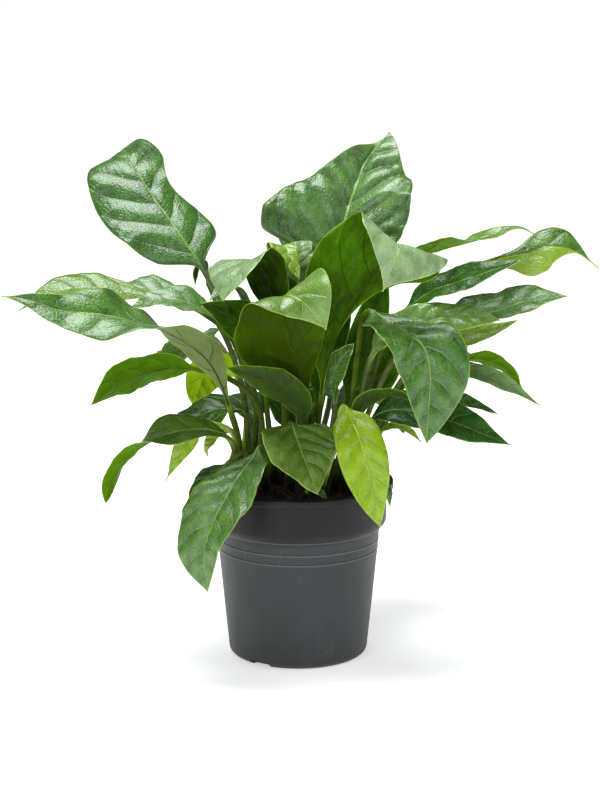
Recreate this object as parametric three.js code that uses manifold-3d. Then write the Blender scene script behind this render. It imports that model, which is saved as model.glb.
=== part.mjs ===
// Bushy anthurium in a plastic nursery pot. Millimetres, +Z up, origin under the pot's centre.
import * as THREE from "three";
import { mergeVertices } from "three/addons/utils/BufferGeometryUtils.js";
import Module from "manifold-3d";

const wasm = await Module();
wasm.setup();

// Pot: lip diameter 210, tapered body, plain base with drain slots round its edge.
const potHeight = 197;
const lipRadius = 105;
const lipDepth = 9;
const lipChamfer = 1.5;
const bandRadius = 97.5;
const bodyRadius = 90;
const shoulderHeight = 143;
const shoulderRound = 9;
const shoulderStep = 3;
const beadHeights = [121, 132];
const beadSize = 1;
const baseRadius = 77;
const baseCorner = 9;
const wall = 2.4;
const potSides = 40;
const slotCount = 3;
const slotWidth = 24;
const slotHeight = 6;
const slotInner = 64;
const slotOverrun = 10;
const slotTurn = -4;

// Soil: fills the pot to a little below the lip, with a plain hole for each stalk.
const soilTop = 188;
const soilBottom = wall + 0.3;
const soilRings = 4;
const soilSides = 20;
const soilRough = 1.6;
const soilWaves = { x: 0.31, y: 0.27, bendX: 0.17, bendY: 0.23 };
const soilGap = 0.6;
const clearance = 0.3;
const holeDepth = 15;
const holeSides = 6;
const holeRoom = 0.7;
const sproutRise = 3;

// Leaves: each is one body, a stalk that widens into a thin blade with a raised midrib beneath.
const bladeThickness = 0.9;
const ribDepth = 1.1;
const stalkRadius = 3.1;
const sheathRadius = 4.2;
const sheathShare = 0.5;
const stalkMerge = 0.16;
const stalkStations = 4;
const stationSpacing = 21;
const fewestStations = 5;
const mostStations = 12;
const across = [-1, -0.5, 0, 0.5, 1];
const pathSteps = 20;
const narrowest = 0.7;
const leastCurl = 0.01;

// Waves along a blade's edges: height as a share of its half-width, number, and where they start.
const waveShare = 0.09;
const waveCount = 2.2;
const waveStart = 0.13;
const waveShift = 0.45;
const waveFadeIn = 4;
const waveFadeOut = 5;

const up = new THREE.Vector3(0, 0, 1);
const radians = Math.PI / 180;
const holeRadius = (sheathRadius + holeRoom) / Math.cos(Math.PI / holeSides);

function finish(color, roughness) {
  return new THREE.MeshStandardMaterial({ color, roughness, metalness: 0 });
}

const finishes = {
  pot: finish(0x4a4a4c, 0.55),
  soil: finish(0x1c1512, 0.95),
  mature: finish(0x3f6b33, 0.35),
  dark: finish(0x2c5226, 0.35),
  young: finish(0x8fb535, 0.4),
};

// Each path runs from the stalk's foot in the soil [x, y] over [x, y, z] points to the leaf's tip.
// foot is the path point where the blade starts. width is half the blade's width, and width, fold
// and curl may differ on its left and right. shape holds the powers of the outline's base and tip.
// roll turns the upper face to the leaf's left, in degrees, and may vary along the blade.
// bay draws one margin in: its side, its place along the blade, its depth and its spread.
const leaves = {
  top_left: {
    path: [
      [-24, 28], [-51, 36, 278], [-82, 52, 376], [-104, 66, 417], [-120, 76, 440], [-144, 98, 471],
      [-167, 120, 499], [-185, 142, 525], [-196, 164, 538], [-204, 186, 539], [-211, 204, 526],
    ],
    foot: 3, width: [64, 50], shape: [[0.72, 0.72], [0.4, 0.5]],
    roll: 42, fold: [10, -22], curl: [-10, 0], bay: [1, 0.5, 0.45, 0.2], finish: "mature",
  },
  top_right: {
    path: [
      [12, 30], [35, 34, 278], [37, 32, 379], [40, 38, 425], [50, 52, 471], [62, 72, 507],
      [75, 94, 536], [102, 118, 567],
    ],
    foot: 3, width: [90, 74], shape: [[0.45, 1.8], [0.5, 0.8]],
    roll: -30, fold: 14, curl: 0, finish: "mature",
  },
  left_long: {
    path: [
      [-64, -22], [-64, -28, 244], [-72, -34, 276], [-82, -42, 310], [-97, -50, 339],
      [-120, -58, 360], [-154, -66, 378], [-183, -72, 387], [-214, -78, 394], [-250, -82, 398],
      [-281, -84, 409], [-312, -80, 413],
    ],
    foot: 2, width: [42, 37], shape: [1.8, 1.6],
    roll: [-70, -50, -26, 0, 48, 50, 40], fold: 8, curl: 0, finish: "mature",
  },
  left_young: {
    path: [
      [-52, 16], [-47, 4, 284], [-68, 8, 345], [-102, 10, 379], [-151, 12, 394], [-194, 12, 401],
      [-237, 10, 407], [-275, 6, 398], [-304, 0, 384],
    ],
    foot: 3, width: 28, shape: [3.5, 1.8],
    roll: 20, fold: 15, curl: 0, finish: "mature",
  },
  left_hump: {
    path: [
      [-54, 30], [-64, 34, 301], [-93, 36, 370], [-117, 40, 388], [-150, 42, 398], [-183, 42, 401],
      [-210, 42, 396],
    ],
    foot: 3, width: 24, shape: [0.9, 1],
    roll: 20, fold: 10, curl: 0, finish: "mature",
  },
  left_upper: {
    path: [
      [-48, 4], [-40, 0, 263], [-55, -6, 309], [-65, -12, 343], [-84, -18, 375], [-106, -22, 391],
      [-129, -25, 400], [-154, -26, 400], [-180, -26, 392],
    ],
    foot: 4, width: 23, shape: [0.9, 1.1],
    roll: 25, fold: 12, curl: 0, finish: "mature",
  },
  left_olive: {
    path: [
      [-50, -12], [-39, -18, 261], [-52, -22, 295], [-76, -24, 314], [-106, -26, 324],
      [-130, -28, 326], [-160, -32, 322], [-192, -36, 310], [-223, -40, 288],
    ],
    foot: 4, width: 26, shape: [1.1, 1],
    roll: -55, fold: 12, curl: 0, finish: "dark",
  },
  left_bright: {
    path: [
      [-64, 48], [-58, 50, 263], [-65, 56, 296], [-83, 60, 309], [-100, 64, 303], [-112, 68, 282],
      [-117, 70, 262],
    ],
    foot: 2, width: 22, shape: [0.8, 0.9],
    roll: -60, fold: 12, curl: 0, finish: "young",
  },
  left_behind: {
    path: [[-32, 50], [-52, 70, 282], [-59, 78, 312], [-75, 86, 317], [-95, 94, 302], [-112, 98, 282]],
    foot: 2, width: 18, shape: [0.8, 0.9],
    roll: 10, fold: 12, curl: 0, finish: "mature",
  },
  left_twist: {
    path: [
      [-70, -34], [-71, -50, 248], [-92, -56, 263], [-118, -62, 265], [-145, -68, 260],
      [-169, -72, 247], [-188, -76, 230], [-200, -78, 210], [-206, -80, 189],
    ],
    foot: 1, width: 24, shape: [0.9, 0.8],
    roll: [35, 35, -30, -72], fold: 12, curl: 0, finish: "dark",
  },
  left_hanging: {
    path: [
      [-72, -8], [-72, -14, 252], [-96, -14, 261], [-114, -12, 254], [-125, -10, 236],
      [-136, -8, 215], [-146, -8, 195],
    ],
    foot: 2, width: 13, shape: [0.9, 1.7],
    roll: 70, fold: 12, curl: 0, finish: "young",
  },
  left_pale: {
    path: [[-80, 8], [-69, 14, 244], [-82, 16, 247], [-94, 18, 238], [-101, 18, 227], [-100, 18, 217]],
    foot: 2, width: 8, shape: [0.8, 0.9],
    roll: 60, fold: 12, curl: 0, finish: "young",
  },
  left_shade: {
    path: [
      [-68, 22], [-45, 22, 244], [-62, 20, 266], [-84, 16, 272], [-106, 12, 266], [-126, 8, 259],
      [-141, 4, 248],
    ],
    foot: 2, width: 22, shape: [0.8, 0.9],
    roll: 20, fold: 12, curl: 0, finish: "dark",
  },
  front_left: {
    path: [
      [-36, -42], [-32, -52, 230], [-39, -62, 246], [-49, -78, 237], [-62, -96, 224],
      [-77, -116, 202], [-89, -130, 181], [-98, -138, 153], [-95, -140, 108],
    ],
    foot: 2, width: [37, 38], shape: [[0.7, 1.1], [1.3, 1]],
    roll: 0, fold: 12, curl: 0, finish: "mature",
  },
  front_gloss: {
    path: [
      [-56, -44], [-58, -50, 238], [-75, -62, 228], [-92, -72, 212], [-105, -78, 196],
      [-111, -80, 179],
    ],
    foot: 2, width: 18, shape: [0.8, 0.9],
    roll: 20, fold: 12, curl: 0, finish: "dark",
  },
  front_center: {
    path: [
      [-8, -42], [-8, -46, 237], [-8, -56, 270], [-1, -76, 257], [5, -90, 243], [12, -100, 227],
      [20, -108, 206],
    ],
    foot: 2, width: [41, 45], shape: [0.5, 1],
    roll: 0, fold: 12, curl: 0, finish: "dark",
  },
  front_young: {
    path: [
      [24, -60], [41, -64, 255], [48, -60, 290], [59, -78, 274], [68, -96, 253], [75, -106, 225],
      [80, -110, 200], [87, -112, 171],
    ],
    foot: 2, width: [25, 30], shape: [0.7, 1],
    roll: 0, fold: 12, curl: 0, heading: -85, finish: "young",
  },
  front_small: {
    path: [[6, -66], [10, -72, 199], [19, -79, 203], [32, -86, 192]],
    foot: 1, width: 6, shape: [0.8, 0.9],
    roll: 0, fold: 12, curl: 0, finish: "mature",
  },
  front_tip: {
    path: [[58, -52], [73, -66, 228], [84, -78, 216], [94, -88, 205], [98, -92, 188]],
    foot: 1, width: 8, shape: [0.8, 0.9],
    roll: 0, fold: 12, curl: 0, finish: "mature",
  },
  center_fold: {
    path: [
      [6, -24], [11, -32, 275], [4, -46, 311], [-2, -60, 341], [-10, -74, 367], [-16, -90, 396],
      [-15, -106, 417], [4, -124, 415], [29, -136, 387],
    ],
    foot: 1, width: [52, 56], shape: [[1.8, 1], [1.3, 1.4]],
    roll: [-10, -10, -10, -25, -30], fold: 6, curl: 0, heading: -85, finish: "mature",
  },
  center_olive: {
    path: [
      [12, -44], [8, -48, 267], [-1, -60, 295], [-20, -76, 314], [-40, -86, 326], [-57, -93, 334],
      [-74, -98, 340],
    ],
    foot: 1, width: 20, shape: [0.8, 0.9],
    roll: -50, fold: 12, curl: 0, finish: "dark",
  },
  center_drop: {
    path: [
      [-20, -20], [-15, -12, 276], [-18, -10, 326], [-21, -13, 367], [-27, -20, 403],
      [-35, -31, 431], [-49, -50, 447], [-63, -77, 438], [-78, -98, 411],
    ],
    foot: 3, width: [32, 46], shape: [1.3, 0.9],
    roll: [-10, -10, -20], fold: 8, curl: 0, finish: "mature",
  },
  center_left: {
    path: [
      [-26, -8], [-33, -14, 266], [-37, -26, 324], [-45, -40, 361], [-62, -52, 381],
      [-81, -62, 394], [-103, -72, 404],
    ],
    foot: 2, width: [26, 24], shape: [0.8, 1],
    roll: -50, fold: 12, curl: 0, finish: "dark",
  },
  center_bright: {
    path: [
      [-2, 4], [-16, 2, 285], [-17, 6, 362], [-20, 6, 411], [-21, 2, 437], [-17, -12, 457],
      [-9, -30, 447], [1, -44, 426],
    ],
    foot: 4, width: [12, 18], shape: [0.8, 1],
    roll: 0, fold: 14, curl: 0, heading: -60, finish: "mature",
  },
  center_top: {
    path: [[6, 12], [0, 8, 283], [2, 2, 373], [2, 3, 412], [1, 1, 437], [4, 7, 450], [14, 16, 458]],
    foot: 3, width: 17, shape: [0.8, 0.8],
    roll: 0, fold: 12, curl: 0, heading: 75, finish: "mature",
  },
  center_big: {
    path: [
      [16, -12], [24, -26, 285], [30, -33, 323], [41, -39, 361], [58, -46, 398], [81, -53, 435],
      [95, -60, 457], [103, -70, 468], [103, -82, 462], [97, -92, 443], [88, -100, 421],
    ],
    foot: 1, width: [58, 66], shape: [[8, 2.2], [2.2, 1.6]],
    roll: [0, 0, 0, 0, 0, 0, 10, 39, 25, 15, 10], fold: 6, curl: 0, heading: -90, finish: "mature",
  },
  center_small: {
    path: [[24, -22], [40, -24, 286], [36, -24, 310], [44, -25, 330], [60, -24, 352]],
    foot: 1, width: 17, shape: [0.8, 0.9],
    roll: -50, fold: 12, curl: 0, finish: "mature",
  },
  right_top: {
    path: [
      [30, 16], [57, 14, 282], [76, 14, 360], [96, 10, 414], [116, 6, 440], [145, 0, 449],
      [181, -6, 459], [217, -10, 470], [238, -12, 476], [257, -14, 468],
    ],
    foot: 3, width: [30, 24], shape: [[0.6, 1.4], [0.9, 0.9]],
    roll: [20, 25, -5, -15], fold: 12, curl: 0, finish: "mature",
  },
  right_far: {
    path: [
      [40, 8], [70, 8, 283], [98, 6, 351], [141, 0, 404], [181, -6, 429], [217, -10, 442],
      [249, -14, 449], [273, -18, 456], [298, -20, 451], [323, -20, 434],
    ],
    foot: 3, width: [24, 27], shape: [[7, 3], [9, 6]],
    roll: -8, fold: [40, -50], curl: 0, finish: "mature",
  },
  right_inner: {
    path: [
      [40, -8], [72, -8, 281], [93, -15, 349], [114, -20, 385], [141, -29, 409], [170, -42, 422],
      [199, -54, 434], [235, -66, 449],
    ],
    foot: 3, width: [20, 19], shape: [0.8, 1],
    roll: -40, fold: 12, curl: 0, finish: "dark",
  },
  right_mid: {
    path: [
      [50, -14], [80, -16, 283], [106, -20, 336], [144, -26, 370], [178, -30, 383], [211, -34, 389],
      [239, -38, 399], [264, -41, 404], [287, -43, 407],
    ],
    foot: 3, width: [27, 24], shape: [0.9, 1],
    roll: -32, fold: 12, curl: 0, finish: "mature",
  },
  right_under: {
    path: [
      [54, 2], [94, 4, 273], [122, 2, 318], [155, 0, 345], [185, -3, 357], [213, -6, 363],
      [238, -8, 375],
    ],
    foot: 2, width: [20, 18], shape: [0.9, 1.1],
    roll: -35, fold: 12, curl: 0, finish: "mature",
  },
  right_shoulder: {
    path: [
      [34, -28], [63, -26, 279], [78, -28, 335], [96, -35, 366], [126, -48, 378], [159, -56, 386],
      [191, -60, 387], [214, -61, 384],
    ],
    foot: 2, width: [21, 28], shape: [0.9, 1],
    roll: -46, fold: 12, curl: 0, finish: "mature",
  },
  front_right: {
    path: [
      [38, -40], [56, -40, 271], [63, -34, 336], [74, -26, 387], [95, -48, 380], [116, -84, 373],
      [132, -98, 361], [138, -106, 337], [137, -110, 303], [135, -112, 262],
    ],
    foot: 3, width: 42, shape: [[1.2, 1], [0.6, 1]],
    roll: 0, fold: 10, curl: 0, heading: -78, finish: "mature",
  },
  right_low: {
    path: [
      [62, -28], [76, -32, 264], [97, -38, 281], [129, -46, 281], [163, -54, 273], [197, -58, 260],
      [228, -60, 248],
    ],
    foot: 1, width: 26, shape: [0.9, 1.1],
    roll: -40, fold: 12, curl: 0, finish: "dark",
  },
  right_behind: {
    path: [[60, 26], [95, 24, 257], [134, 20, 279], [165, 16, 284], [191, 14, 278], [219, 12, 267]],
    foot: 2, width: 10, shape: [0.8, 0.9],
    roll: -30, fold: 12, curl: 0, finish: "dark",
  },
  right_tip: {
    path: [[76, -22], [87, -22, 250], [102, -22, 260], [119, -23, 256], [134, -24, 243]],
    foot: 1, width: 7, shape: [0.8, 0.9],
    roll: -20, fold: 12, curl: 0, finish: "young",
  },
  right_olive: {
    path: [[50, -42], [60, -50, 262], [69, -56, 291], [88, -62, 303], [107, -66, 304], [127, -70, 296]],
    foot: 1, width: 12, shape: [0.8, 0.9],
    roll: 40, fold: 12, curl: 0, finish: "dark",
  },
  right_brown: {
    path: [
      [64, 12], [103, 14, 282], [138, 12, 316], [177, 10, 328], [208, 8, 328], [230, 6, 316],
      [245, 4, 298],
    ],
    foot: 3, width: 12, shape: [0.9, 1.1],
    roll: 50, fold: 12, curl: 0, finish: "dark",
  },
  shade_center: {
    path: [[2, 23], [20, 22, 275], [26, 20, 315], [33, 18, 360], [39, 16, 404], [43, 16, 435]],
    foot: 1, width: 24, shape: [1, 0.8],
    roll: 0, fold: 10, curl: 0, heading: -90, finish: "dark",
  },
  shade_right: {
    path: [[26, 2], [52, 0, 279], [63, -3, 319], [75, -8, 359], [87, -14, 398], [96, -22, 421]],
    foot: 1, width: 20, shape: [1, 0.9],
    roll: 0, fold: 10, curl: 0, heading: -90, finish: "dark",
  },
  shade_behind: {
    path: [[-8, 38], [2, 40, 277], [-2, 44, 332], [-9, 48, 388], [-13, 52, 430]],
    foot: 1, width: 26, shape: [1, 0.8],
    roll: 0, fold: 10, curl: 0, heading: -90, finish: "dark",
  },
  wavy_drop: {
    path: [
      [-30, 7], [-33, 9, 261], [-46, 18, 315], [-56, 14, 366], [-61, 2, 398], [-70, -12, 412],
      [-82, -26, 411], [-94, -38, 402],
    ],
    foot: 2, width: [16, 18], shape: [0.8, 0.9],
    roll: 10, fold: 8, curl: 0, finish: "mature",
  },
  right_long: {
    path: [
      [68, -8], [100, -8, 270], [131, -10, 304], [163, -13, 320], [197, -16, 317], [232, -19, 302],
      [263, -22, 283],
    ],
    foot: 2, width: 15, shape: [0.9, 1.1],
    roll: -30, fold: 12, curl: 0, finish: "mature",
  },
  left_bud: {
    path: [
      [-42, 40], [-45, 52, 268], [-56, 58, 301], [-78, 66, 351], [-100, 78, 402], [-107, 82, 425],
      [-113, 78, 416], [-115, 74, 401],
    ],
    foot: 4, width: 8, shape: [0.8, 0.9],
    roll: 0, fold: 10, curl: 0, finish: "mature",
  },
  right_shade: {
    path: [[44, 30], [57, 28, 263], [68, 29, 281], [84, 30, 301], [101, 30, 326], [112, 29, 353]],
    foot: 1, width: 22, shape: [0.8, 0.9],
    roll: 88, fold: 10, curl: 0, heading: 0, finish: "dark",
  },
  back_mid: {
    path: [[0, 84], [0, 95, 215], [-2, 112, 262], [-4, 142, 298], [-4, 184, 300], [-4, 212, 272]],
    foot: 1, width: 36, shape: [0.7, 1],
    roll: 0, fold: 12, curl: -10, finish: "dark",
  },
  back_high: {
    path: [[6, 48], [10, 78, 320], [14, 110, 410], [20, 170, 468], [26, 228, 455], [30, 272, 408]],
    foot: 2, width: 52, shape: [0.7, 0.85],
    roll: 0, fold: 12, curl: -10, finish: "mature",
  },
  back_center: {
    path: [[-12, 66], [-16, 110, 290], [-22, 160, 350], [-28, 215, 345], [-32, 258, 300]],
    foot: 1, width: 42, shape: [0.7, 0.85],
    roll: 0, fold: 12, curl: -10, finish: "mature",
  },
  back_left: {
    path: [[-46, 58], [-66, 104, 280], [-98, 152, 326], [-130, 196, 312], [-154, 226, 270]],
    foot: 2, width: 40, shape: [0.7, 0.85],
    roll: 10, fold: 12, curl: -10, finish: "mature",
  },
  back_right: {
    path: [[42, 52], [76, 104, 285], [120, 150, 338], [164, 188, 325], [194, 216, 280]],
    foot: 2, width: 42, shape: [0.7, 0.85],
    roll: -10, fold: 12, curl: -10, finish: "mature",
  },
  back_low_left: {
    path: [[-34, 72], [-44, 98, 234], [-78, 164, 255], [-98, 208, 232], [-108, 236, 190]],
    foot: 1, width: 32, shape: [0.7, 0.85],
    roll: 0, fold: 12, curl: -10, finish: "dark",
  },
  back_low_right: {
    path: [[30, 76], [42, 98, 236], [84, 162, 260], [110, 204, 238], [126, 232, 196]],
    foot: 1, width: 34, shape: [0.7, 0.85],
    roll: 0, fold: 12, curl: -10, finish: "dark",
  },
};

const plant = new THREE.Group();
plant.name = "potted_anthurium";

function addPiece(name, geometry, material) {
  const piece = new THREE.Mesh(geometry, material);
  piece.name = name;
  plant.add(piece);
}

function toSolid(geometry) {
  const bare = geometry.clone();
  bare.deleteAttribute("normal");
  bare.deleteAttribute("uv");
  const merged = mergeVertices(bare, 1e-4);
  const mesh = new wasm.Mesh({
    numProp: 3,
    vertProperties: new Float32Array(merged.attributes.position.array),
    triVerts: new Uint32Array(merged.index.array),
  });
  return new wasm.Manifold(mesh);
}

function toGeometry(solid) {
  const mesh = solid.getMesh();
  const geometry = new THREE.BufferGeometry();
  geometry.setAttribute("position", new THREE.BufferAttribute(mesh.vertProperties, 3));
  geometry.setIndex(new THREE.BufferAttribute(mesh.triVerts, 1));
  geometry.computeVertexNormals();
  return geometry;
}

function turned(profile, sides) {
  const points = profile.map(([radius, height]) => new THREE.Vector2(radius, height));
  return new THREE.LatheGeometry(points, sides).rotateX(Math.PI / 2);
}

function arc(centerRadius, centerHeight, radius, from, to, steps) {
  const points = [];
  for (let step = 0; step <= steps; step += 1) {
    const angle = (from + ((to - from) * step) / steps) * radians;
    points.push([centerRadius + radius * Math.cos(angle), centerHeight + radius * Math.sin(angle)]);
  }
  return points;
}

function bodyRadiusAt(height) {
  return baseRadius + ((bodyRadius - baseRadius) * height) / shoulderHeight;
}

// A small step in the wall that runs round the body.
function bead(height) {
  const radius = bodyRadiusAt(height);
  return [
    [radius, height - beadSize],
    [radius + beadSize, height],
  ];
}

function potGeometry() {
  const bandHeight = shoulderHeight + shoulderRound + shoulderStep;
  const profile = [
    [0, 0],
    ...arc(baseRadius - baseCorner, baseCorner, baseCorner, -90, 0, 3),
    ...beadHeights.flatMap(bead),
    [bodyRadius, shoulderHeight],
    ...arc(bandRadius - shoulderRound, bandHeight, shoulderRound, -50, 0, 3),
    [bandRadius, potHeight - lipDepth - lipChamfer],
    [lipRadius - lipChamfer, potHeight - lipDepth],
    [lipRadius, potHeight - lipDepth + lipChamfer],
    [lipRadius, potHeight - lipChamfer],
    [lipRadius - lipChamfer, potHeight],
    [bandRadius - wall, potHeight],
    [bandRadius - wall, shoulderHeight + shoulderRound],
    [bodyRadius - wall, shoulderHeight - wall],
    [baseRadius - wall, baseCorner],
    [baseRadius - baseCorner, wall],
    [0, wall],
  ];
  let pot = toSolid(turned(profile, potSides));
  const slotOuter = baseRadius + slotOverrun;
  for (let slot = 0; slot < slotCount; slot += 1) {
    const cutter = new THREE.BoxGeometry(slotOuter - slotInner, slotWidth, 2 * slotHeight);
    cutter.translate((slotOuter + slotInner) / 2, 0, 0);
    cutter.rotateZ((2 * Math.PI * slot) / slotCount + slotTurn * radians);
    pot = pot.subtract(toSolid(cutter));
  }
  return toGeometry(pot);
}

// Steady unevenness between -1 and 1 for the soil's top.
function unevenness(x, y) {
  const alongX = Math.sin(soilWaves.x * x + Math.sin(soilWaves.bendX * y));
  const alongY = Math.cos(soilWaves.y * y - Math.sin(soilWaves.bendY * x));
  return (alongX + alongY) / 2;
}

function soilGeometry() {
  const profile = [
    [0, soilBottom],
    [baseRadius - baseCorner - soilGap, soilBottom],
    [baseRadius - wall - soilGap, baseCorner + soilGap],
    [bodyRadius - wall - soilGap, shoulderHeight - wall],
    [bandRadius - wall - soilGap, shoulderHeight + shoulderRound + soilGap],
  ];
  for (let ring = soilRings; ring >= 0; ring -= 1) {
    profile.push([((bandRadius - wall - soilGap) * ring) / soilRings, soilTop - soilRough]);
  }
  const geometry = turned(profile, soilSides);
  const places = geometry.attributes.position;
  for (let index = 0; index < places.count; index += 1) {
    if (places.getZ(index) > soilTop - 2 * soilRough) {
      const rise = soilRough * unevenness(places.getX(index), places.getY(index));
      places.setZ(index, soilTop - soilRough + rise);
    }
  }
  let soil = toSolid(geometry);
  for (const { path } of Object.values(leaves)) {
    const hole = new THREE.CylinderGeometry(holeRadius, holeRadius, 2 * holeDepth, holeSides);
    hole.rotateX(Math.PI / 2).translate(path[0][0], path[0][1], soilTop);
    soil = soil.subtract(toSolid(hole));
  }
  return toGeometry(soil);
}

// Value at a share v of the blade from one number or from several spread evenly along it.
function along(values, v) {
  const list = [values].flat();
  if (list.length === 1) {
    return list[0];
  }
  const place = Math.min(Math.max(v, 0), 1) * (list.length - 1);
  const index = Math.min(Math.floor(place), list.length - 2);
  const part = place - index;
  return list[index] + (list[index + 1] - list[index]) * part * part * (3 - 2 * part);
}

// The left or right one of a pair of values, or the one value that both sides share.
function sideValue(values, u) {
  const list = Array.isArray(values) ? values : [values];
  return u < 0 ? list[0] : list[list.length - 1];
}

// Half-width of the blade as a share of its greatest half-width.
function outline([base, tip], v) {
  const peak = base / (base + tip);
  return (v ** base * (1 - v) ** tip) / (peak ** base * (1 - peak) ** tip);
}

// Share of the width that a bay in one margin leaves.
function bay(leaf, u, v) {
  const [side, place, depth, spread] = leaf.bay || [0, 0, 0, 1];
  return u * side > 0 ? 1 - depth * Math.exp(-(((v - place) / spread) ** 2)) : 1;
}

// Place of the blade's middle surface across the leaf, bent up by fold and curl from its midrib.
function bladePoint(leaf, u, v) {
  const shape = Array.isArray(leaf.shape[0]) ? sideValue(leaf.shape, u) : leaf.shape;
  const half = Math.max(sideValue(leaf.width, u) * outline(shape, v) * bay(leaf, u, v), narrowest);
  const fold = sideValue(leaf.fold, u) * radians;
  const curl = (sideValue(leaf.curl, u) || leastCurl) * radians;
  const reach = Math.abs(u);
  const out = (half * (Math.sin(fold + curl * reach) - Math.sin(fold))) / curl;
  const rise = (half * (Math.cos(fold) - Math.cos(fold + curl * reach))) / curl;
  const { size, count, start } = leaf.wave;
  const phase = count * v + start + (u < 0 ? waveShift : 0);
  const wave = size * reach ** 2 * Math.sin(2 * Math.PI * phase);
  const fade = Math.min(1, waveFadeIn * v, waveFadeOut * (1 - v));
  return [Math.sign(u) * out, rise + wave * fade];
}

function stalkPoint(index, count, radius) {
  const angle = Math.PI * (1 - (2 * index + 1) / count);
  return [radius * Math.cos(angle), radius * Math.sin(angle)];
}

// One ring of the leaf's skin at a station: the upper face from left to right, then the lower back.
function ring(leaf, station, stalkLength) {
  const { v, distance } = station;
  const upper = across.map((u) => [u, 1]);
  const lower = [...across].reverse().map((u) => [u, -1]);
  const corners = [...upper, ...lower];
  const sheath = Math.max(0, 1 - distance / (sheathShare * stalkLength));
  const radius = stalkRadius + (sheathRadius - stalkRadius) * sheath;
  const merge = Math.min(Math.max(v / stalkMerge, 0), 1);
  const blend = merge * merge * (3 - 2 * merge);
  return corners.map(([u, face], index) => {
    const [stalkX, stalkZ] = stalkPoint(index, corners.length, radius);
    if (v <= 0) {
      return [stalkX, stalkZ];
    }
    const [bladeX, bladeZ] = bladePoint(leaf, u, v);
    const rib = u === 0 && face < 0 ? ribDepth * (1 - v) : 0;
    const offset = (face * bladeThickness) / 2 - rib;
    return [stalkX + (bladeX - stalkX) * blend, stalkZ + (bladeZ + offset - stalkZ) * blend];
  });
}

function leafStations(curve, path, foot) {
  const divisions = (path.length - 1) * pathSteps;
  const lengths = curve.getLengths(divisions);
  const total = lengths[divisions];
  const stalkLength = lengths[foot * pathSteps];
  const count = Math.round((total - stalkLength) / stationSpacing);
  const bladeStations = Math.min(Math.max(count, fewestStations), mostStations);
  const stations = [{ distance: 0, v: -1, share: 0 }];
  const sprout = holeDepth - clearance + sproutRise;
  for (let step = 0; step < stalkStations; step += 1) {
    const distance = sprout + ((stalkLength - sprout) * step) / stalkStations;
    stations.push({ distance, v: -1, share: distance / total });
  }
  for (let step = 0; step <= bladeStations; step += 1) {
    const v = step / bladeStations;
    const distance = stalkLength + (total - stalkLength) * v;
    stations.push({ distance, v, share: distance / total });
  }
  return { stations, stalkLength };
}

function leafGeometry(leaf) {
  const [[footX, footY], ...rest] = leaf.path;
  const inSoil = [clearance - holeDepth, -holeDepth / 2, sproutRise];
  const upright = inSoil.map((height) => new THREE.Vector3(footX, footY, soilTop + height));
  const path = [...upright, ...rest.map((point) => new THREE.Vector3(...point))];
  const curve = new THREE.CatmullRomCurve3(path, false, "centripetal");
  const tip = path[path.length - 1];
  const heading = new THREE.Vector3(tip.x - footX, tip.y - footY, 0).normalize();
  if (leaf.heading !== undefined) {
    heading.set(Math.cos(leaf.heading * radians), Math.sin(leaf.heading * radians), 0);
  }
  const level = new THREE.Vector3().crossVectors(heading, up);
  const { stations, stalkLength } = leafStations(curve, path, leaf.foot + inSoil.length - 1);
  const points = [];
  for (const station of stations) {
    const center = curve.getPointAt(Math.min(station.share, 1));
    const tangent = curve.getTangentAt(Math.min(station.share, 1));
    const side = level.clone().addScaledVector(tangent, -level.dot(tangent)).normalize();
    side.applyAxisAngle(tangent, -along(leaf.roll, station.v) * radians);
    const normal = new THREE.Vector3().crossVectors(side, tangent);
    for (const [x, z] of ring(leaf, station, stalkLength)) {
      points.push(center.clone().addScaledVector(side, x).addScaledVector(normal, z));
    }
  }
  return skinned(points, 2 * across.length);
}

// Closed skin over rings of points, with each end fanned shut.
function skinned(points, count) {
  const faces = [];
  const rings = points.length / count;
  for (let row = 0; row < rings - 1; row += 1) {
    for (let column = 0; column < count; column += 1) {
      const next = (column + 1) % count;
      const [a, b] = [row * count + column, row * count + next];
      const [c, d] = [a + count, b + count];
      // The lower face's quads are split on the same diagonal as the upper face's above them.
      if (column < count / 2) {
        faces.push(a, b, c, b, d, c);
      } else {
        faces.push(a, d, c, a, b, d);
      }
    }
  }
  const last = (rings - 1) * count;
  for (let column = 1; column < count / 2; column += 1) {
    const [near, far] = [column, count - 1 - column];
    const [nearBack, farBack] = [near - 1, far + 1];
    faces.push(nearBack, far, near, nearBack, farBack, far);
    faces.push(last + nearBack, last + near, last + far, last + nearBack, last + far, last + farBack);
  }
  const geometry = new THREE.BufferGeometry().setFromPoints(points);
  geometry.setIndex(faces);
  geometry.computeVertexNormals();
  return geometry;
}

addPiece("pot", potGeometry(), finishes.pot);
addPiece("soil", soilGeometry(), finishes.soil);
for (const [name, leaf] of Object.entries(leaves)) {
  const size = waveShare * Math.max(...[leaf.width].flat());
  const wave = { size, count: waveCount, start: waveStart * name.length };
  addPiece(`leaf_${name}`, leafGeometry({ wave, ...leaf }), finishes[leaf.finish]);
}

export default plant;
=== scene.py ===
import math

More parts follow.
